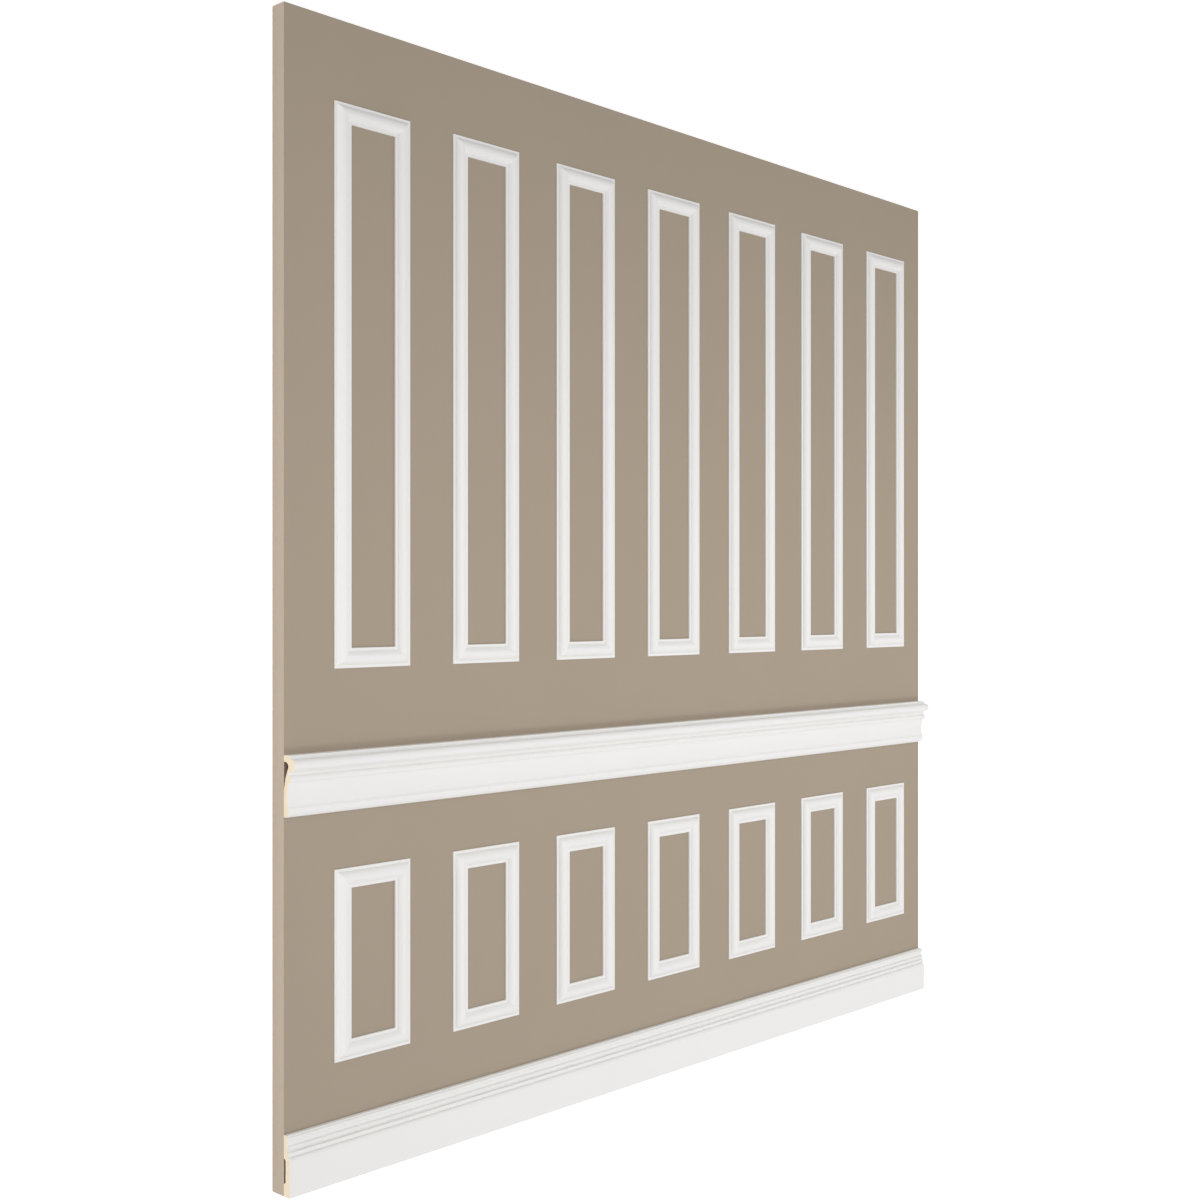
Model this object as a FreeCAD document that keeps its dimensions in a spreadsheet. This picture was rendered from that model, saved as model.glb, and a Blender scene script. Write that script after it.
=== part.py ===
import FreeCAD, Part
import math
import os
import Sketcher

# Wainscot wall panel, lying on its back with its face up.
# +X runs along the wall, +Y up the wall, +Z out of the wall face. The origin is the middle of the back.
# A painted board carries a baseboard along its foot, a chair rail across it, and one row of mitred
# panel-moulding frames above the rail and one below it. All sizes are in millimetres.

SIZES = {
    # board
    "panel_width": 2400.3,
    "panel_height": 2438.4,
    "board_thickness": 40.0,
    # where the mouldings sit on the board
    "rail_top_height": 900.4,
    "frame_count": 7,
    "frame_width": 204.2,
    "left_margin": 127.3,
    "right_margin": 87.7,
    "top_margin": 173.2,
    "rail_upper_margin": 172.7,
    "rail_lower_margin": 122.6,
    "base_margin": 120.5,
    # panel moulding: a round crown between a thin outer fillet and a thicker inner fillet
    "mould_width": 42.7,
    "mould_thickness": 12.7,
    "outer_fillet_width": 6.5,
    "outer_fillet_thickness": 3.0,
    "outer_step": 1.3,
    "crown_offset": 22.0,
    "crown_round_width": 7.1,
    "crown_round_drop": 2.1,
    "inner_fillet_width": 7.2,
    "inner_fillet_thickness": 4.4,
    "inner_step": 1.4,
    "inner_edge_radius": 1.2,
    # chair rail: cap, round nose, cove, bead, hollowed frieze and foot, with a relieved back
    "rail_height": 127.0,
    "rail_projection": 38.4,
    "rail_cap_height": 7.6,
    "rail_cap_reveal": 4.3,
    "rail_nose_radius": 11.5,
    "rail_cove_fillet": 0.6,
    "rail_cove_radius": 9.2,
    "rail_bead_fillet": 0.9,
    "rail_bead_height": 14.6,
    "rail_bead_projection": 7.1,
    "rail_frieze_step": 1.3,
    "rail_frieze_thickness": 13.6,
    "rail_frieze_radius": 105.0,
    "rail_foot_height": 22.2,
    "rail_foot_bevel": 4.6,
    "rail_foot_projection": 17.4,
    "rail_foot_radius": 22.0,
    "rail_foot_edge": 8.6,
    "rail_relief_top": 13.3,
    "rail_relief_radius": 10.5,
    "rail_relief_depth": 15.5,
    "rail_relief_waist": 5.8,
    "rail_relief_waist_drop": 21.6,
    "rail_relief_tail": 26.0,
    # baseboard: two beads, a fillet and a shoulder over a plain face, with a relieved back
    "base_height": 125.4,
    "base_thickness": 20.7,
    "base_neck_thickness": 10.2,
    "base_top_radius": 2.2,
    "base_top_land": 0.4,
    "base_upper_bead_radius": 4.4,
    "base_neck_height": 9.7,
    "base_bead_ledge": 2.0,
    "base_lower_bead_radius": 4.6,
    "base_quirk_height": 3.6,
    "base_fillet_thickness": 17.9,
    "base_fillet_height": 7.9,
    "base_shoulder_quirk": 1.8,
    "base_shoulder_height": 10.2,
    "base_shoulder_setback": 7.2,
    "base_foot_radius": 2.0,
    "base_relief_depth": 6.0,
    "base_relief_foot": 25.8,
    "base_relief_height": 53.0,
    "base_relief_slope": 4.0,
}


class Term:
    """A length worked out from the sheet: its present value and the expression that keeps it bound."""

    def __init__(self, value, text):
        self.value = float(value)
        self.text = text

    def __add__(self, other):
        return Term(self.value + other.value, f"({self.text} + {other.text})")

    def __sub__(self, other):
        return Term(self.value - other.value, f"({self.text} - {other.text})")

    def __neg__(self):
        return Term(-self.value, f"(-{self.text})")

    def __mul__(self, number):
        return Term(self.value * number, f"({self.text} * {number})")

    def __truediv__(self, number):
        return Term(self.value / number, f"({self.text} / {number})")


ZERO = Term(0, "0")


class Arc:
    """An arc from the last corner to this one. One centre coordinate or the radius fixes it."""

    def __init__(self, across, out, centre_across=None, centre_out=None, radius=None, hollow=False):
        self.across = across
        self.out = out
        self.centre_across = centre_across
        self.centre_out = centre_out
        self.radius = radius
        self.hollow = hollow


class Corner:
    """The end of a straight run. across is measured over the wall, out away from it."""

    def __init__(self, across, out):
        self.across = across
        self.out = out


doc = FreeCAD.newDocument("wainscot_panel")
sheet = doc.addObject("Spreadsheet::Sheet", "sizes")
for row, (alias, number) in enumerate(SIZES.items(), start=1):
    sheet.set(f"A{row}", alias)
    sheet.set(f"B{row}", str(number))
    sheet.setAlias(f"B{row}", alias)
doc.recompute()


def size(alias):
    return Term(sheet.get(alias), f"sizes.{alias}")


def bind(thing, path, length):
    thing.setExpression(path, length.text)


# Sketch helpers

def new_sketch(body, role, name):
    """An empty sketch on one of the body's own origin planes."""
    plane = next(f for f in body.Origin.OriginFeatures if f.Role == role)
    sketch = body.newObject("Sketcher::SketchObject", name)
    sketch.AttachmentSupport = [(plane, "")]
    sketch.MapMode = "FlatFace"
    return sketch


def pin_point(sketch, geometry, end, across, out):
    """Fixes one end of a line or arc, or an arc's centre, from the sketch's origin."""
    axes = (("DistanceX", -2, across), ("DistanceY", -1, out))
    for kind, axis, length in axes:
        if length is None:
            continue
        if length.value == 0:
            sketch.addConstraint(Sketcher.Constraint("PointOnObject", geometry, end, axis))
        elif length.value > 0:
            index = sketch.addConstraint(Sketcher.Constraint(kind, -1, 1, geometry, end, length.value))
            sketch.setExpression(f"Constraints[{index}]", length.text)
        else:
            index = sketch.addConstraint(Sketcher.Constraint(kind, geometry, end, -1, 1, -length.value))
            sketch.setExpression(f"Constraints[{index}]", (-length).text)


def arc_centre(start, arc):
    """Where the arc's centre lies now: on the chord's middle line, at the coordinate or radius given."""
    ax, ay = start.across.value, start.out.value
    bx, by = arc.across.value, arc.out.value
    dx, dy = bx - ax, by - ay
    half = (bx * bx - ax * ax + by * by - ay * ay) / 2
    if arc.centre_across is not None:
        x = arc.centre_across.value
        return x, (half - dx * x) / dy
    if arc.centre_out is not None:
        y = arc.centre_out.value
        return (half - dy * y) / dx, y
    chord = math.hypot(dx, dy)
    reach = math.sqrt(arc.radius.value ** 2 - chord ** 2 / 4)
    side = -1 if arc.hollow else 1
    return (ax + bx) / 2 - side * reach * dy / chord, (ay + by) / 2 + side * reach * dx / chord


def draw_outline(sketch, corners):
    """Draws a closed outline, counter-clockwise, and fixes every corner and arc to the sheet."""
    ends = []
    for index, corner in enumerate(corners):
        before = corners[index - 1]
        a = FreeCAD.Vector(before.across.value, before.out.value, 0)
        b = FreeCAD.Vector(corner.across.value, corner.out.value, 0)
        if isinstance(corner, Corner):
            geometry = sketch.addGeometry(Part.LineSegment(a, b))
            ends.append((geometry, 1, 2))
            continue
        centre = FreeCAD.Vector(*arc_centre(before, corner), 0)
        circle = Part.Circle(centre, FreeCAD.Vector(0, 0, 1), (a - centre).Length)
        first, last = (b, a) if corner.hollow else (a, b)
        angles = [math.atan2(p.y - centre.y, p.x - centre.x) for p in (first, last)]
        geometry = sketch.addGeometry(Part.ArcOfCircle(circle, *angles))
        ends.append((geometry, 2, 1) if corner.hollow else (geometry, 1, 2))
    for index, corner in enumerate(corners):
        geometry, start, end = ends[index]
        following, following_start = ends[(index + 1) % len(ends)][:2]
        sketch.addConstraint(Sketcher.Constraint("Coincident", geometry, end, following, following_start))
        pin_point(sketch, geometry, end, corner.across, corner.out)
        if isinstance(corner, Arc):
            if corner.radius is None:
                pin_point(sketch, geometry, 3, corner.centre_across, corner.centre_out)
            else:
                number = sketch.addConstraint(Sketcher.Constraint("Radius", geometry, corner.radius.value))
                sketch.setExpression(f"Constraints[{number}]", corner.radius.text)


def new_body(label, x, y, z, turn=0):
    """A body whose own origin stands at x, y, z, turned about the wall face's normal."""
    body = doc.addObject("PartDesign::Body", label)
    body.Label = label
    body.Placement = FreeCAD.Placement(
        FreeCAD.Vector(x.value, y.value, z.value), FreeCAD.Rotation(FreeCAD.Vector(0, 0, 1), turn)
    )
    bind(body, "Placement.Base.x", x)
    bind(body, "Placement.Base.y", y)
    bind(body, "Placement.Base.z", z)
    return body


def pad(body, sketch, length):
    feature = body.newObject("PartDesign::Pad", f"{body.Name}_pad")
    feature.Profile = sketch
    feature.Length = length.value
    bind(feature, "Length", length)
    sketch.Visibility = False
    return feature


def moulding(body, corners, length):
    """Runs a section along the body's own X."""
    section = new_sketch(body, "YZ_Plane", f"{body.Name}_section")
    draw_outline(section, corners)
    return pad(body, section, length)


panel_width = size("panel_width")
panel_height = size("panel_height")
left_end = -panel_width / 2
floor_line = -panel_height / 2
wall_face = size("board_thickness")


# Wall board: one painted board, its back on the floor

def wall_board():
    body = new_body("wall_board", left_end, floor_line, ZERO)
    outline = new_sketch(body, "XY_Plane", "wall_board_outline")
    draw_outline(outline, [
        Corner(ZERO, ZERO),
        Corner(panel_width, ZERO),
        Corner(panel_width, panel_height),
        Corner(ZERO, panel_height),
    ])
    pad(body, outline, wall_face)
    return body


# Baseboard: across is height above the floor, out is thickness off the wall

def baseboard():
    height = size("base_height")
    face = size("base_thickness")
    neck = size("base_neck_thickness")
    top_radius = size("base_top_radius")
    upper_radius = size("base_upper_bead_radius")
    lower_radius = size("base_lower_bead_radius")
    fillet = size("base_fillet_thickness")
    foot = size("base_foot_radius")

    upper_top = height - top_radius - size("base_top_land")
    upper_middle = upper_top - upper_radius
    upper_bottom = upper_middle - upper_radius
    lower_top = upper_bottom - size("base_neck_height")
    lower_middle = lower_top - lower_radius
    lower_bottom = lower_middle - lower_radius
    bead_root = neck + size("base_bead_ledge")
    fillet_top = lower_bottom - size("base_quirk_height")
    fillet_bottom = fillet_top - size("base_fillet_height")
    shoulder_top = fillet_bottom - size("base_shoulder_quirk")
    shoulder_bottom = shoulder_top - size("base_shoulder_height")
    shoulder_root = face - size("base_shoulder_setback")

    relief_foot = size("base_relief_foot")
    relief_top = relief_foot + size("base_relief_height")
    relief_depth = size("base_relief_depth")
    slope = size("base_relief_slope")

    body = new_body("baseboard", left_end, floor_line, wall_face)
    moulding(body, [
        Corner(height, ZERO),
        Corner(height, neck - top_radius),
        Arc(height - top_radius, neck, centre_across=height - top_radius),
        Corner(upper_top, neck),
        Arc(upper_bottom, neck, centre_out=neck),
        Corner(lower_top, neck),
        Corner(lower_top, bead_root),
        Arc(lower_bottom, bead_root, centre_out=bead_root),
        Corner(fillet_top, bead_root),
        Corner(fillet_top, fillet),
        Corner(fillet_bottom, fillet),
        Corner(fillet_bottom, shoulder_root),
        Corner(shoulder_top, shoulder_root),
        Arc(shoulder_bottom, face, centre_across=shoulder_bottom),
        Corner(foot, face),
        Arc(ZERO, face - foot, centre_across=foot),
        Corner(ZERO, ZERO),
        Corner(relief_foot, ZERO),
        Corner(relief_foot + slope, relief_depth),
        Corner(relief_top - slope, relief_depth),
        Corner(relief_top, ZERO),
    ], panel_width)
    return body


# Chair rail: across is height above its own lower edge, out is projection off the wall

def chair_rail():
    height = size("rail_height")
    nose_radius = size("rail_nose_radius")
    cove_radius = size("rail_cove_radius")
    bead_height = size("rail_bead_height")

    nose_out = size("rail_projection") - nose_radius
    cap_out = nose_out - size("rail_cap_reveal")
    nose_top = height - size("rail_cap_height")
    nose_middle = nose_top - nose_radius
    nose_bottom = nose_middle - nose_radius
    cove_top = nose_bottom - size("rail_cove_fillet")
    cove_bottom = cove_top - cove_radius
    cove_out = nose_out - cove_radius
    bead_top = cove_bottom - size("rail_bead_fillet")
    bead_middle = bead_top - bead_height / 2
    bead_bottom = bead_top - bead_height
    bead_out = cove_out + size("rail_bead_projection")
    frieze_out = cove_out - size("rail_frieze_step")
    foot_top = size("rail_foot_height")
    foot_nose = foot_top - size("rail_foot_bevel")

    relief_top = height - size("rail_relief_top")
    relief_radius = size("rail_relief_radius")
    relief_depth = size("rail_relief_depth")
    relief_deepest = relief_top - relief_radius
    relief_waist = relief_deepest - size("rail_relief_waist_drop")
    relief_foot = relief_waist - size("rail_relief_tail")

    rail_foot = floor_line + size("rail_top_height") - height
    body = new_body("chair_rail", left_end, rail_foot, wall_face)
    moulding(body, [
        Corner(height, ZERO),
        Corner(height, cap_out),
        Corner(nose_top, cap_out),
        Corner(nose_top, nose_out),
        Arc(nose_bottom, nose_out, centre_out=nose_out),
        Corner(cove_top, nose_out),
        Arc(cove_bottom, cove_out, centre_across=cove_bottom, hollow=True),
        Corner(bead_top, cove_out),
        Arc(bead_middle, bead_out, centre_across=bead_middle),
        Arc(bead_bottom, cove_out, centre_across=bead_middle),
        Corner(bead_bottom, frieze_out),
        Arc(foot_top, size("rail_frieze_thickness"), radius=size("rail_frieze_radius"), hollow=True),
        Corner(foot_nose, size("rail_foot_projection")),
        Arc(ZERO, size("rail_foot_edge"), radius=size("rail_foot_radius")),
        Corner(ZERO, ZERO),
        Corner(relief_foot, ZERO),
        Corner(relief_waist, size("rail_relief_waist")),
        Corner(relief_deepest, relief_depth),
        Arc(relief_top, relief_depth - relief_radius, centre_across=relief_deepest, hollow=True),
        Corner(relief_top, ZERO),
    ], panel_width)
    return body


# Panel moulding: across is measured from a frame's outer edge to its opening, out off the wall

def mould_corners():
    width = size("mould_width")
    crown = size("mould_thickness")
    crown_across = size("crown_offset")
    outer_width = size("outer_fillet_width")
    outer_thickness = size("outer_fillet_thickness")
    inner_across = width - size("inner_fillet_width")
    inner_thickness = size("inner_fillet_thickness")
    edge = size("inner_edge_radius")
    return [
        Corner(ZERO, ZERO),
        Corner(width, ZERO),
        Corner(width, inner_thickness - edge),
        Arc(width - edge, inner_thickness, centre_across=width - edge),
        Corner(inner_across, inner_thickness),
        Corner(inner_across, inner_thickness + size("inner_step")),
        Corner(crown_across + size("crown_round_width"), crown - size("crown_round_drop")),
        Arc(crown_across, crown, centre_across=crown_across),
        Arc(outer_width, outer_thickness + size("outer_step"), centre_across=crown_across),
        Corner(outer_width, outer_thickness),
        Corner(ZERO, outer_thickness),
    ]


def moulding_stick(label, x, y, turn, length):
    """One length of panel moulding with both ends mitred, its outer edge along its own X."""
    width = size("mould_width")
    margin = size("mould_thickness")
    body = new_body(label, x, y, wall_face, turn)
    bar = moulding(body, mould_corners(), length)
    doc.recompute()
    square_volume = bar.Shape.Volume

    waste = new_sketch(body, "XY_Plane", f"{body.Name}_mitre_waste")
    beyond = width + margin
    for end, inward in ((ZERO, 1), (length, -1)):
        corners = [
            Corner(end - margin * inward, -margin),
            Corner(end + beyond * inward, beyond),
            Corner(end - margin * inward, beyond),
        ]
        draw_outline(waste, corners)
    mitre = body.newObject("PartDesign::Pocket", f"{body.Name}_mitre")
    mitre.Profile = waste
    mitre.Type = "ThroughAll"
    mitre.Reversed = True
    waste.Visibility = False
    doc.recompute()
    if not mitre.Shape.Volume < square_volume:
        raise RuntimeError(f"{label}: the mitres cut nothing")
    return body


def moulding_frame(label, left, bottom, height):
    """Four mitred sticks around an opening, named for the side of the frame they make."""
    width = size("frame_width")
    right = left + width
    top = bottom + height
    return [
        moulding_stick(f"{label}_bottom", left, bottom, 0, width),
        moulding_stick(f"{label}_right", right, bottom, 90, height),
        moulding_stick(f"{label}_top", right, top, 180, width),
        moulding_stick(f"{label}_left", left, top, 270, height),
    ]


def frame_rows():
    """The frames above and below the rail, spaced evenly between the two end margins."""
    count = int(round(sheet.get("frame_count")))
    width = size("frame_width")
    first = left_end + size("left_margin")
    run = panel_width - size("left_margin") - size("right_margin") - width
    pitch = run / (count - 1)
    rail_top = floor_line + size("rail_top_height")
    rail_foot = rail_top - size("rail_height")
    base_top = floor_line + size("base_height")
    upper_bottom = rail_top + size("rail_upper_margin")
    upper_height = -floor_line - size("top_margin") - upper_bottom
    lower_bottom = base_top + size("base_margin")
    lower_height = rail_foot - size("rail_lower_margin") - lower_bottom
    sticks = []
    for number in range(count):
        left = first + pitch * number
        sticks += moulding_frame(f"upper_frame_{number + 1}", left, upper_bottom, upper_height)
        sticks += moulding_frame(f"lower_frame_{number + 1}", left, lower_bottom, lower_height)
    return sticks


pieces = [wall_board(), baseboard(), chair_rail()] + frame_rows()
doc.recompute()

for thing in doc.Objects:
    if "Invalid" in thing.State or "Error" in thing.State:
        raise RuntimeError(f"{thing.Name} failed: {thing.State}")
for piece in pieces:
    shape = piece.Shape
    if shape.isNull() or not shape.isValid() or len(shape.Solids) != 1:
        raise RuntimeError(f"{piece.Label} is not one sound solid")

os.makedirs("parts", exist_ok=True)
for piece in pieces:
    piece.Shape.exportStep(f"parts/{piece.Label}.step")
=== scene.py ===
import bmesh
import bpy
import math
from mathutils import Matrix, Vector


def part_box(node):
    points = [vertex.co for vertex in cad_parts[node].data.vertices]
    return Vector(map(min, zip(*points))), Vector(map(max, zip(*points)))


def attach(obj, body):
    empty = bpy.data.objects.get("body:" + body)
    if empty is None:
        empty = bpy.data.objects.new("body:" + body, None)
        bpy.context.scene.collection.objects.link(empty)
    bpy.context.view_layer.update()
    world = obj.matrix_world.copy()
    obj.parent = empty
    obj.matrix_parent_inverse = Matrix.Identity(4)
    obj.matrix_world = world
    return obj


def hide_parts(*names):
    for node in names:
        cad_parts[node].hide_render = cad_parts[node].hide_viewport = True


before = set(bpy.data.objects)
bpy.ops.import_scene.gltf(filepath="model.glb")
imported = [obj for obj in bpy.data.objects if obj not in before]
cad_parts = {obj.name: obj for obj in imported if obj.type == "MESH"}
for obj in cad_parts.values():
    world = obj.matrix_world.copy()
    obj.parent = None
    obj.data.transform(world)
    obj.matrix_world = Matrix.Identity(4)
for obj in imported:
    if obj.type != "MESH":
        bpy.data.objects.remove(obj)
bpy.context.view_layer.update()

# Wall board: a flat fibreboard panel, sawn square, with its arrises eased by hand. Matt taupe wall paint is
# rolled on its face and edges; the edges' paint is lighter, painted light for the side light they catch.
# The back is left bare.

MM = 0.001

# A Mix node's colour sockets share their names with its other sockets, so they go by number.
MIX_FROM = 6
MIX_TO = 7
MIX_OUT = 2


def linear(hex_colour):
    """An sRGB hex colour as linear red, green, blue and alpha."""
    channels = [int(hex_colour[i:i + 2], 16) / 255 for i in (0, 2, 4)]
    return [c / 12.92 if c <= 0.04045 else ((c + 0.055) / 1.055) ** 2.4 for c in channels] + [1.0]


def add_node(tree, kind, settings, links):
    """Adds a shader node, sets its options and socket values, and links other nodes' outputs to it."""
    made = tree.nodes.new(kind)
    for name, value in settings.items():
        if isinstance(name, int) or name in made.inputs:
            made.inputs[name].default_value = value
        else:
            setattr(made, name, value)
    for name, output in links.items():
        tree.links.new(output, made.inputs[name])
    return made


def new_material(name):
    """A material with only its surface shader and output, and the object's own coordinates."""
    material = bpy.data.materials.new(name)
    material.use_nodes = True
    tree = material.node_tree
    surface = tree.nodes["Principled BSDF"]
    place = add_node(tree, "ShaderNodeTexCoord", {}, {}).outputs["Object"]
    return material, tree, surface, place


def rolled_emulsion(name, thin, thick):
    """Matt emulsion wall paint, put on with a short-pile roller.

    It gives the eye an even, dead-flat colour with a faint cloudiness where the film is thicker, and a
    fine stipple that only shows close up.
    """
    material, tree, surface, place = new_material(name)
    cloud_size = 260 * MM
    stipple_size = 2.2 * MM
    stipple_height = 0.06 * MM
    film = add_node(tree, "ShaderNodeTexNoise",
                    {"Scale": 1 / cloud_size, "Detail": 3.0, "Roughness": 0.55}, {"Vector": place})
    colour = add_node(tree, "ShaderNodeMix",
                      {"data_type": "RGBA", MIX_FROM: linear(thin), MIX_TO: linear(thick)},
                      {"Factor": film.outputs["Fac"]})
    stipple = add_node(tree, "ShaderNodeTexNoise",
                       {"Scale": 1 / stipple_size, "Detail": 2.0, "Roughness": 0.5}, {"Vector": place})
    bump = add_node(tree, "ShaderNodeBump",
                    {"Strength": 0.25, "Distance": stipple_height}, {"Height": stipple.outputs["Fac"]})
    surface.inputs["Roughness"].default_value = 0.85
    surface.inputs["Specular IOR Level"].default_value = 0.3
    tree.links.new(colour.outputs[MIX_OUT], surface.inputs["Base Color"])
    tree.links.new(bump.outputs["Normal"], surface.inputs["Normal"])
    return material


def sawn_fibreboard(name):
    """Bare medium-density fibreboard.

    It gives the eye a biscuit brown, flecked with short darker fibres, with no gloss.
    """
    material, tree, surface, place = new_material(name)
    fleck_size = 1.5 * MM
    flecks = add_node(tree, "ShaderNodeTexNoise",
                      {"Scale": 1 / fleck_size, "Detail": 6.0, "Roughness": 0.7}, {"Vector": place})
    colour = add_node(tree, "ShaderNodeValToRGB", {}, {"Fac": flecks.outputs["Fac"]})
    fibre, ground = colour.color_ramp.elements
    fibre.position = 0.35
    fibre.color = linear("8A6B4C")
    ground.position = 0.65
    ground.color = linear("A98A68")
    surface.inputs["Roughness"].default_value = 0.9
    tree.links.new(colour.outputs["Color"], surface.inputs["Base Color"])
    return material


def give_faces(piece, material, wanted):
    """Paints the faces that wanted(face) picks with one more material of the piece."""
    piece.data.materials.append(material)
    bpy.ops.object.mode_set(mode="EDIT")
    bpy.ops.mesh.select_all(action="DESELECT")
    mesh = bmesh.from_edit_mesh(piece.data)
    for face in mesh.faces:
        face.select_set(wanted(face))
    bmesh.update_edit_mesh(piece.data)
    piece.active_material_index = len(piece.data.materials) - 1
    bpy.ops.object.material_slot_assign()
    bpy.ops.object.mode_set(mode="OBJECT")


def set_in_place(piece, node):
    """Hands a finished piece over: it stands for its node and rides on the panel."""
    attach(piece, "root")
    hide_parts(node)


board_low, board_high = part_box("wall_board")
left_end = board_low.x
right_end = board_high.x
wall_face = board_high.z
arris = 0.8 * MM
arris_facets = 3

# A face looks along an axis where its normal's share of it is over square_on, and across it under edge_on.
square_on = 0.9
edge_on = 0.3

bpy.ops.object.select_all(action="DESELECT")
bpy.ops.mesh.primitive_cube_add(
    size=1, location=(board_low + board_high) / 2, scale=board_high - board_low)
board = bpy.context.object
board.name = "painted_wall_board"
bpy.ops.object.transform_apply(location=True, rotation=True, scale=True)
bpy.ops.object.mode_set(mode="EDIT")
bpy.ops.mesh.select_all(action="SELECT")
bpy.ops.mesh.bevel(offset=arris, segments=arris_facets, affect="EDGES")
bpy.ops.object.mode_set(mode="OBJECT")
board.data.materials.append(rolled_emulsion("taupe_emulsion", "A69988", "AA9C8B"))
# The sawn edges take a lighter taupe: painted light for the stronger side light they catch, not a paler
# coat.
give_faces(board, rolled_emulsion("taupe_emulsion_painted_light_on_edges", "BAAB9A", "BEAF9F"),
           lambda face: abs(face.normal.z) < edge_on)
give_faces(board, sawn_fibreboard("sawn_fibreboard"), lambda face: face.normal.z < -square_on)
set_in_place(board, "wall_board")

# Baseboard: a length of white moulded polyurethane with two beads, a fillet and a rounded shoulder over a
# plain face. It is glued along the foot of the board, sawn flush with both ends, and its back is relieved
# so that it sits flat.


def satin_white_coat(name):
    """Factory satin coat on moulded polyurethane.

    It gives the eye a clean, slightly warm white with a soft broad sheen, and the faint orange peel
    of sprayed paint.
    """
    material, tree, surface, place = new_material(name)
    cloud_size = 180 * MM
    peel_size = 1.6 * MM
    peel_height = 0.03 * MM
    cloud = add_node(tree, "ShaderNodeTexNoise",
                     {"Scale": 1 / cloud_size, "Detail": 2.0, "Roughness": 0.5}, {"Vector": place})
    colour = add_node(tree, "ShaderNodeMix",
                      {"data_type": "RGBA", MIX_FROM: linear("EDECEA"), MIX_TO: linear("EFEEEC")},
                      {"Factor": cloud.outputs["Fac"]})
    peel = add_node(tree, "ShaderNodeTexNoise",
                    {"Scale": 1 / peel_size, "Detail": 1.0, "Roughness": 0.5}, {"Vector": place})
    sheen = add_node(tree, "ShaderNodeMapRange",
                     {"To Min": 0.5, "To Max": 0.6}, {"Value": peel.outputs["Fac"]})
    bump = add_node(tree, "ShaderNodeBump",
                    {"Strength": 0.15, "Distance": peel_height}, {"Height": peel.outputs["Fac"]})
    surface.inputs["Specular IOR Level"].default_value = 0.3
    tree.links.new(colour.outputs[MIX_OUT], surface.inputs["Base Color"])
    tree.links.new(sheen.outputs["Result"], surface.inputs["Roughness"])
    tree.links.new(bump.outputs["Normal"], surface.inputs["Normal"])
    return material


def bare_polyurethane_foam(name, dark, pale):
    """Rigid polyurethane foam without its coat.

    It gives the eye a soft, dead-matt colour between two tones, with fine open cells whose pits are
    darkened with painted shade.
    """
    material, tree, surface, place = new_material(name)
    cell_size = 0.7 * MM
    cell_depth = 0.15 * MM
    patch_size = 14 * MM
    cells = add_node(tree, "ShaderNodeTexVoronoi", {"Scale": 1 / cell_size}, {"Vector": place})
    patches = add_node(tree, "ShaderNodeTexNoise",
                       {"Scale": 1 / patch_size, "Detail": 3.0, "Roughness": 0.6}, {"Vector": place})
    tone = add_node(tree, "ShaderNodeMix",
                    {"data_type": "RGBA", MIX_FROM: linear(dark), MIX_TO: linear(pale)},
                    {"Factor": patches.outputs["Fac"]})
    # Painted shade in the open cells: the colour darkens towards each cell's centre, where the bump sinks a
    # pit.
    pore_shade = add_node(tree, "ShaderNodeMapRange",
                     {"From Min": 0.0, "From Max": 0.35, "To Min": 0.9, "To Max": 1.0},
                     {"Value": cells.outputs["Distance"]})
    colour = add_node(tree, "ShaderNodeVectorMath", {"operation": "SCALE"},
                      {"Vector": tone.outputs[MIX_OUT], "Scale": pore_shade.outputs["Result"]})
    bump = add_node(tree, "ShaderNodeBump",
                    {"Strength": 0.4, "Distance": cell_depth}, {"Height": cells.outputs["Distance"]})
    surface.inputs["Roughness"].default_value = 0.95
    surface.inputs["Specular IOR Level"].default_value = 0.2
    tree.links.new(colour.outputs["Vector"], surface.inputs["Base Color"])
    tree.links.new(bump.outputs["Normal"], surface.inputs["Normal"])
    return material


white_coat = satin_white_coat("satin_white_coat")
sawn_foam = bare_polyurethane_foam("sawn_polyurethane_foam", "ECDBBE", "F2E5CD")
# The foam back's dark tan is painted shade for the dim channel behind the chair rail; the foam itself is
# the cream of the sawn ends.
shaded_foam_back = bare_polyurethane_foam("moulded_foam_back_painted_shade", "9A7853", "A7855F")


def size_in_mm(node):
    """A node's size along X, Y and Z in the frame, to a tenth of a millimetre."""
    low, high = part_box(node)
    return [round(side / MM, 1) for side in high - low]


def arc_radius(run, rise):
    """The radius of an arc that sets off level and has risen by rise after run."""
    return (run ** 2 + rise ** 2) / (2 * rise)


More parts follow.
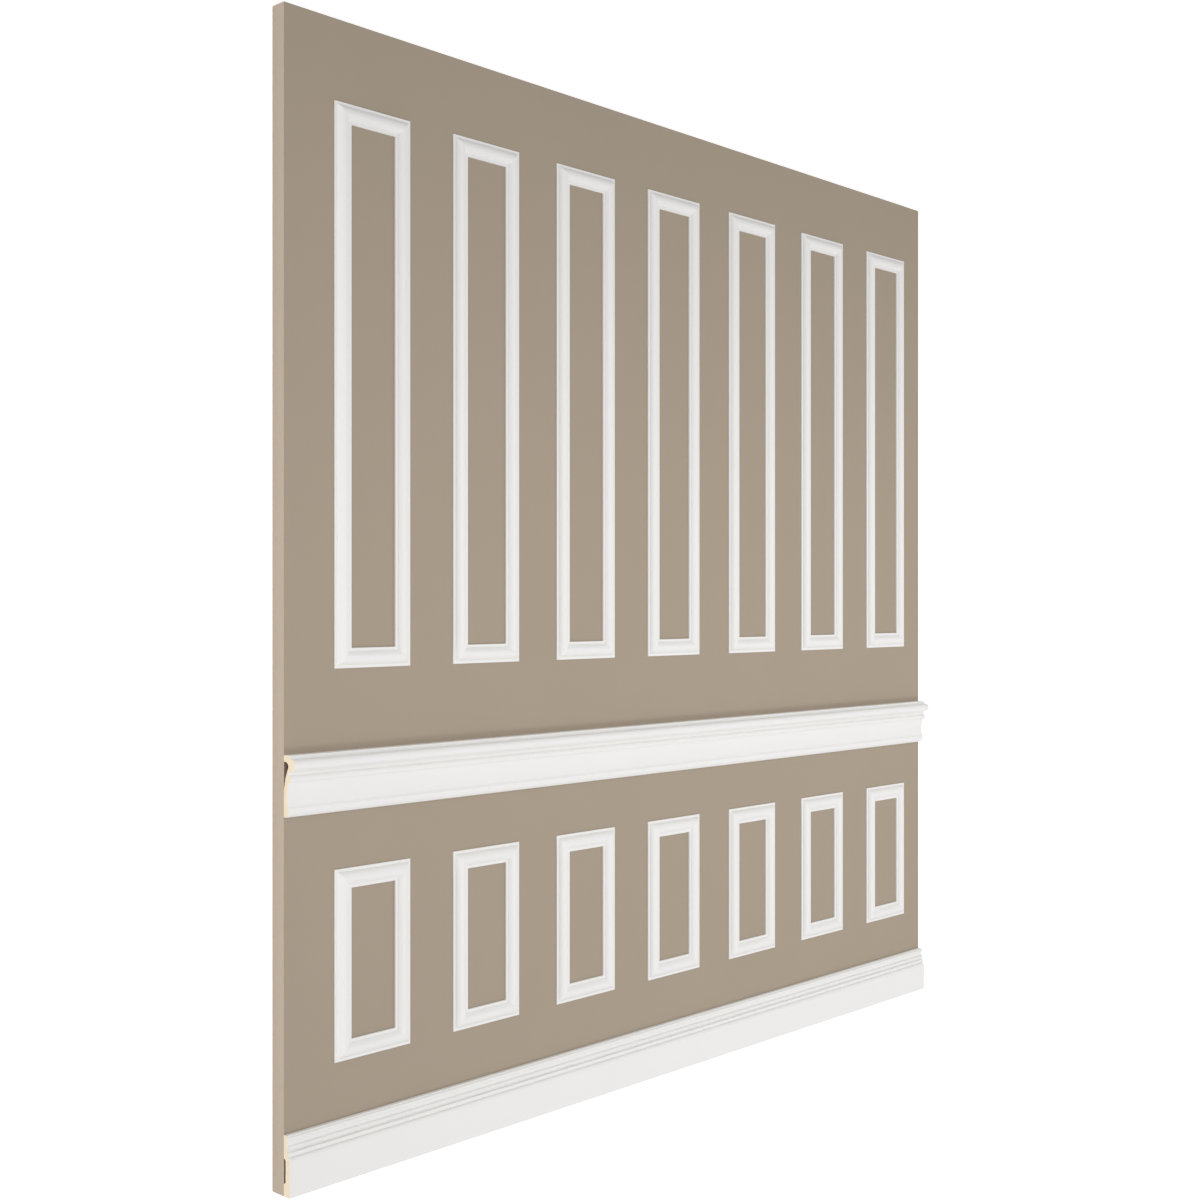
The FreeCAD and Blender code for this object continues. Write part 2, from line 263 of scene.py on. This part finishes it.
def draw_moulding(name, length, runs, easing):
    """Traces a section off the wall, eases its corners and draws it out along X.

    A run is (across, out) for a straight line to that point in millimetres, or (across, out, radius) for
    an arc to it, with a negative radius for a hollow.
    """
    facet_degrees = 6
    fewest_facets = 3
    least_corner = math.radians(20)
    weld_gap = 0.001 * MM
    bpy.ops.object.select_all(action="DESELECT")
    bpy.ops.mesh.primitive_plane_add(size=MM)
    piece = bpy.context.object
    piece.name = name
    bpy.ops.object.mode_set(mode="EDIT")
    bpy.ops.mesh.merge(type="CENTER")
    pen = Vector((0, *runs[-1][:2])) * MM
    bpy.ops.transform.translate(value=pen)
    for run in runs:
        goal = Vector((0, *run[:2])) * MM
        if len(run) == 2:
            bpy.ops.mesh.extrude_region_move(TRANSFORM_OT_translate={"value": goal - pen})
        else:
            radius = abs(run[2]) * MM
            turn = math.copysign(1, run[2])
            chord = goal - pen
            half = chord.length / 2
            reach = math.sqrt(max(radius ** 2 - half ** 2, 0))
            side = Vector((0, -chord.z, chord.y)) / chord.length
            centre = (pen + goal) / 2 + side * reach * turn
            angle = 2 * math.asin(min(half / radius, 1))
            facets = max(fewest_facets, round(math.degrees(angle) / facet_degrees))
            bpy.ops.mesh.spin(steps=facets, angle=angle, center=centre, axis=(-turn, 0, 0))
        pen = goal
    bpy.ops.mesh.select_all(action="SELECT")
    bpy.ops.mesh.remove_doubles(threshold=weld_gap)
    bpy.ops.mesh.edge_face_add()
    mesh = bmesh.from_edit_mesh(piece.data)
    corners = [loop.vert for loop in mesh.faces[0].loops
               if abs(math.pi - loop.calc_angle()) > least_corner]
    for vertex in mesh.verts:
        vertex.select_set(vertex in corners and vertex.co.z > easing)
    mesh.select_flush_mode()
    bmesh.update_edit_mesh(piece.data)
    bpy.ops.mesh.bevel(offset=easing, segments=arris_facets, affect="VERTICES")
    bpy.ops.mesh.select_all(action="SELECT")
    bpy.ops.mesh.extrude_region_move(TRANSFORM_OT_translate={"value": (length, 0, 0)})
    bpy.ops.mesh.select_all(action="SELECT")
    bpy.ops.mesh.normals_make_consistent(inside=False)
    bpy.ops.object.mode_set(mode="OBJECT")
    return piece


def finish_moulding(piece, place, turn=0):
    """Turns a drawn moulding, sets it on the wall and smooths its rounds, leaving its flats flat."""
    smooth_under = math.radians(10)
    bpy.ops.object.select_all(action="DESELECT")
    piece.select_set(True)
    bpy.context.view_layer.objects.active = piece
    piece.location = place
    piece.rotation_euler = (0, 0, math.radians(turn))
    bpy.ops.object.transform_apply(location=True, rotation=True, scale=True)
    bpy.ops.object.shade_smooth_by_angle(angle=smooth_under)


def is_sawn_end(face):
    """A face left by the saw, square or mitred: no other face of a moulding looks along it."""
    return abs(face.normal.x) > edge_on


least_turn = 0.1


def is_back(face):
    """A face turned to the wall, sloped ones too."""
    return face.normal.z < -least_turn


base_height, base_thickness = size_in_mm("baseboard")[1:]
base_neck_thickness = 10.2
base_top_radius = 2.2
base_top_land = 0.4
base_upper_bead_radius = 4.4
base_neck_height = 9.7
base_bead_ledge = 2.0
base_lower_bead_radius = 4.6
base_quirk_height = 3.6
base_fillet_thickness = 17.9
base_fillet_height = 7.9
base_shoulder_quirk = 1.8
base_shoulder_height = 10.2
base_shoulder_setback = 7.2
base_foot_radius = 2.0
base_relief_foot = 25.8
base_relief_height = 53.0
base_relief_depth = 6.0
base_relief_slope = 4.0
long_moulding_easing = 0.5 * MM

upper_bead_top = base_height - base_top_radius - base_top_land
upper_bead_bottom = upper_bead_top - 2 * base_upper_bead_radius
lower_bead_root = base_neck_thickness + base_bead_ledge
lower_bead_top = upper_bead_bottom - base_neck_height
lower_bead_bottom = lower_bead_top - 2 * base_lower_bead_radius
fillet_top = lower_bead_bottom - base_quirk_height
fillet_bottom = fillet_top - base_fillet_height
shoulder_root = base_thickness - base_shoulder_setback
shoulder_top = fillet_bottom - base_shoulder_quirk
shoulder_bottom = shoulder_top - base_shoulder_height
base_relief_top = base_relief_foot + base_relief_height

baseboard = draw_moulding("moulded_baseboard", right_end - left_end, [
    (base_height, base_neck_thickness - base_top_radius),
    (base_height - base_top_radius, base_neck_thickness, base_top_radius),
    (upper_bead_top, base_neck_thickness),
    (upper_bead_bottom, base_neck_thickness, base_upper_bead_radius),
    (lower_bead_top, base_neck_thickness),
    (lower_bead_top, lower_bead_root),
    (lower_bead_bottom, lower_bead_root, base_lower_bead_radius),
    (fillet_top, lower_bead_root),
    (fillet_top, base_fillet_thickness),
    (fillet_bottom, base_fillet_thickness),
    (fillet_bottom, shoulder_root),
    (shoulder_top, shoulder_root),
    (shoulder_bottom, base_thickness, arc_radius(base_shoulder_height, base_shoulder_setback)),
    (base_foot_radius, base_thickness),
    (0, base_thickness - base_foot_radius, base_foot_radius),
    (0, 0),
    (base_relief_foot, 0),
    (base_relief_foot + base_relief_slope, base_relief_depth),
    (base_relief_top - base_relief_slope, base_relief_depth),
    (base_relief_top, 0),
    (base_height, 0),
], long_moulding_easing)
finish_moulding(baseboard, (left_end, board_low.y, wall_face))
baseboard.data.materials.append(white_coat)
give_faces(baseboard, sawn_foam, is_sawn_end)
# The back takes the dark tan foam, painted shade.
give_faces(baseboard, shaded_foam_back, is_back)
set_in_place(baseboard, "baseboard")

# Chair rail: the same white moulded polyurethane, drawn with a cap, a round nose, a cove, a bead, a long
# hollowed frieze and a rounded foot. It is glued across the board and sawn flush with both ends. A deep
# channel up its back saves material.

rail_height, rail_projection = size_in_mm("chair_rail")[1:]
rail_cap_height = 7.6
rail_cap_reveal = 4.3
rail_nose_radius = 11.5
rail_cove_fillet = 0.6
rail_cove_radius = 9.2
rail_bead_fillet = 0.9
rail_bead_height = 14.6
rail_bead_projection = 7.1
rail_frieze_step = 1.3
rail_frieze_thickness = 13.6
rail_frieze_radius = 105.0
rail_foot_height = 22.2
rail_foot_bevel = 4.6
rail_foot_projection = 17.4
rail_foot_radius = 22.0
rail_foot_edge = 8.6
rail_channel_cover = 13.3
rail_channel_radius = 10.5
rail_channel_depth = 15.5
rail_channel_waist = 5.8
rail_channel_waist_drop = 21.6
rail_channel_tail = 26.0

nose_out = rail_projection - rail_nose_radius
cap_out = nose_out - rail_cap_reveal
nose_top = rail_height - rail_cap_height
nose_bottom = nose_top - 2 * rail_nose_radius
cove_out = nose_out - rail_cove_radius
cove_top = nose_bottom - rail_cove_fillet
cove_bottom = cove_top - rail_cove_radius
rail_bead_top = cove_bottom - rail_bead_fillet
rail_bead_bottom = rail_bead_top - rail_bead_height
channel_top = rail_height - rail_channel_cover
channel_deepest = channel_top - rail_channel_radius
channel_waist = channel_deepest - rail_channel_waist_drop
channel_foot = channel_waist - rail_channel_tail

chair_rail = draw_moulding("moulded_chair_rail", right_end - left_end, [
    (rail_height, cap_out),
    (nose_top, cap_out),
    (nose_top, nose_out),
    (nose_bottom, nose_out, rail_nose_radius),
    (cove_top, nose_out),
    (cove_bottom, cove_out, -rail_cove_radius),
    (rail_bead_top, cove_out),
    (rail_bead_bottom, cove_out, arc_radius(rail_bead_height / 2, rail_bead_projection)),
    (rail_bead_bottom, cove_out - rail_frieze_step),
    (rail_foot_height, rail_frieze_thickness, -rail_frieze_radius),
    (rail_foot_height - rail_foot_bevel, rail_foot_projection),
    (0, rail_foot_edge, rail_foot_radius),
    (0, 0),
    (channel_foot, 0),
    (channel_waist, rail_channel_waist),
    (channel_deepest, rail_channel_depth),
    (channel_top, rail_channel_depth - rail_channel_radius, -rail_channel_radius),
    (channel_top, 0),
    (rail_height, 0),
], long_moulding_easing)
rail_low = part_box("chair_rail")[0]
channel_ceiling = rail_low.y + channel_top * MM


def is_channel_ceiling(face):
    """The level top of the channel, which looks down the wall and not at it."""
    at_top = abs(face.calc_center_median().y - channel_ceiling) < arris
    return at_top and face.normal.z < least_turn and not is_sawn_end(face)


finish_moulding(chair_rail, (left_end, rail_low.y, wall_face))
chair_rail.data.materials.append(white_coat)
give_faces(chair_rail, sawn_foam, is_sawn_end)
# The back and the channel's ceiling take the dark tan foam: painted shade in the channel seen at the sawn
# ends.
give_faces(chair_rail, shaded_foam_back, lambda face: is_back(face) or is_channel_ceiling(face))
set_in_place(chair_rail, "chair_rail")

# Panel-moulding frames: each is four sticks of one narrow white moulding, mitred and glued to the board
# around a bare field. The section rises from a thin outer fillet to a round crown and falls to a thicker
# fillet at the opening.

mould_width = size_in_mm("upper_frame_1_left")[0]
mould_thickness = size_in_mm("upper_frame_1_left")[2]
outer_fillet_width = 6.5
outer_fillet_thickness = 3.0
outer_step = 1.3
crown_offset = 22.0
crown_round_width = 7.1
crown_round_drop = 2.1
inner_fillet_width = 7.2
inner_fillet_thickness = 4.4
inner_step = 1.4
inner_edge_radius = 1.2
stick_easing = 0.35 * MM
frame_count = 7

outer_rise = mould_thickness - outer_fillet_thickness - outer_step
inner_across = mould_width - inner_fillet_width
mould_runs = [
    (mould_width, 0),
    (mould_width, inner_fillet_thickness - inner_edge_radius),
    (mould_width - inner_edge_radius, inner_fillet_thickness, inner_edge_radius),
    (inner_across, inner_fillet_thickness),
    (inner_across, inner_fillet_thickness + inner_step),
    (crown_offset + crown_round_width, mould_thickness - crown_round_drop),
    (crown_offset, mould_thickness, arc_radius(crown_round_width, crown_round_drop)),
    (outer_fillet_width, mould_thickness - outer_rise,
     arc_radius(crown_offset - outer_fillet_width, outer_rise)),
    (outer_fillet_width, outer_fillet_thickness),
    (0, outer_fillet_thickness),
    (0, 0),
]


def mitred_stick(name, length):
    """One stick lying along X with its outer edge on the X axis, sawn at 45 degrees at both ends."""
    stick = draw_moulding(name, length, mould_runs, stick_easing)
    bpy.ops.object.mode_set(mode="EDIT")
    for end, lean in ((0, 1), (length, -1)):
        bpy.ops.mesh.select_all(action="SELECT")
        bpy.ops.mesh.bisect(plane_co=(end, 0, 0), plane_no=(lean, -1, 0), use_fill=True, clear_inner=True)
    bpy.ops.object.mode_set(mode="OBJECT")
    stick.data.materials.append(white_coat)
    give_faces(stick, sawn_foam, is_sawn_end)
    # The back takes the dark tan foam, painted shade.
    give_faces(stick, shaded_foam_back, is_back)
    return stick


patterns = {}
for row in ("upper", "lower"):
    for number in range(1, frame_count + 1):
        sides = {side: f"{row}_frame_{number}_{side}" for side in ("left", "right", "top", "bottom")}
        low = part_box(sides["bottom"])[0]
        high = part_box(sides["top"])[1]
        corners = {
            "bottom": (low.x, low.y, 0, high.x - low.x),
            "right": (high.x, low.y, 90, high.y - low.y),
            "top": (high.x, high.y, 180, high.x - low.x),
            "left": (low.x, high.y, 270, high.y - low.y),
        }
        for side, (x, y, turn, length) in corners.items():
            size = round(length / MM, 1)
            if size not in patterns:
                patterns[size] = mitred_stick(f"stick_pattern_{len(patterns)}", size * MM)
            stick = patterns[size].copy()
            stick.data = patterns[size].data.copy()
            stick.name = f"{sides[side]}_stick"
            bpy.context.collection.objects.link(stick)
            finish_moulding(stick, (x, y, wall_face), turn)
            set_in_place(stick, sides[side])
for pattern in patterns.values():
    bpy.data.objects.remove(pattern)

# Floor, light and camera: a plain white studio floor under the panel, three soft boxes round it and a soft
# fill that is a little stronger from the baseboard's side. The camera looks down on the panel as the
# photograph's camera looks at the wall.


def looked_at(tree):
    """1 for what the camera sees straight, mirrored or through glass, and 0 for light on other surfaces."""
    ray = add_node(tree, "ShaderNodeLightPath", {}, {})
    seen = ray.outputs["Is Camera Ray"]
    for kind in ("Is Glossy Ray", "Is Transmission Ray"):
        either = add_node(tree, "ShaderNodeMath", {"operation": "MAXIMUM"}, {0: seen, 1: ray.outputs[kind]})
        seen = either.outputs["Value"]
    return seen


def white_paper_sweep(name):
    """White studio paper.

    It gives the eye a plain white that runs to the horizon and keeps the panel's soft shadow.
    """
    material, tree, surface, _ = new_material(name)
    paper_glow = 0.55
    glow = add_node(tree, "ShaderNodeMapRange", {"To Max": paper_glow}, {"Value": looked_at(tree)})
    surface.inputs["Base Color"].default_value = linear("EBEBEB")
    surface.inputs["Roughness"].default_value = 0.9
    surface.inputs["Specular IOR Level"].default_value = 0.0
    surface.inputs["Emission Color"].default_value = linear("FFFFFF")
    tree.links.new(glow.outputs["Result"], surface.inputs["Emission Strength"])
    return material


floor_width = 40
floor_drop = 0.2 * MM
bpy.ops.object.select_all(action="DESELECT")
bpy.ops.mesh.primitive_plane_add(size=floor_width, location=(0, 0, -floor_drop))
floor = bpy.context.object
floor.name = "studio_floor"
floor.data.materials.append(white_paper_sweep("white_paper_floor"))

scene = bpy.context.scene
scene.view_settings.view_transform = "Standard"
scene.world = bpy.data.worlds.new("studio")
scene.world.use_nodes = True
studio = scene.world.node_tree
fill = studio.nodes["Background"]
fill.inputs["Color"].default_value = linear("FFFFFF")
fill_from_foot = 0.69
fill_from_top = 0.55
white_to_camera = 1.0
outward = add_node(studio, "ShaderNodeTexCoord", {}, {}).outputs["Generated"]
up_wall = add_node(studio, "ShaderNodeSeparateXYZ", {}, {"Vector": outward}).outputs["Y"]
soft_fill = add_node(studio, "ShaderNodeMapRange",
                     {"From Min": -1.0, "To Min": fill_from_foot, "To Max": fill_from_top},
                     {"Value": up_wall})
level = add_node(studio, "ShaderNodeMapRange", {"To Max": white_to_camera},
                 {"Value": looked_at(studio), "To Min": soft_fill.outputs["Result"]})
studio.links.new(level.outputs["Result"], fill.inputs["Strength"])


def soft_box(name, place, about_x, about_y, length, depth, power):
    """A rectangular soft box that the camera does not see; unturned it shines straight down."""
    turn = (math.radians(about_x), math.radians(about_y), 0)
    bpy.ops.object.light_add(type="AREA", location=place, rotation=turn)
    lamp = bpy.context.object
    lamp.name = name
    lamp.data.shape = "RECTANGLE"
    lamp.data.size = length
    lamp.data.size_y = depth
    lamp.data.energy = power
    lamp.visible_camera = False


soft_box("long_soft_box", (0.7, -2.29, 3.09), about_x=14, about_y=0, length=6.0, depth=1.33, power=39.2)
soft_box("upper_soft_box", (0.7, 0.2, 1.59), about_x=-17, about_y=0, length=6.0, depth=1.0, power=14.3)
soft_box("low_side_box", (-6.0, -0.2, 0.18), about_x=0, about_y=-90, length=0.36, depth=4.0, power=80.0)

camera_yaw = math.radians(43.245)
camera_place = (-3.1191, -0.0023, 2.7300)
bpy.ops.object.camera_add()
camera = bpy.context.object
camera.data.lens = 47.67
camera.data.sensor_width = 36.0
right = Vector((math.sin(camera_yaw), 0, math.cos(camera_yaw)))
back = Vector((-math.cos(camera_yaw), 0, math.sin(camera_yaw)))
turned = Matrix((right, Vector((0, 1, 0)), back)).transposed()
camera.matrix_world = Matrix.Translation(camera_place) @ turned.to_4x4()
scene.camera = camera
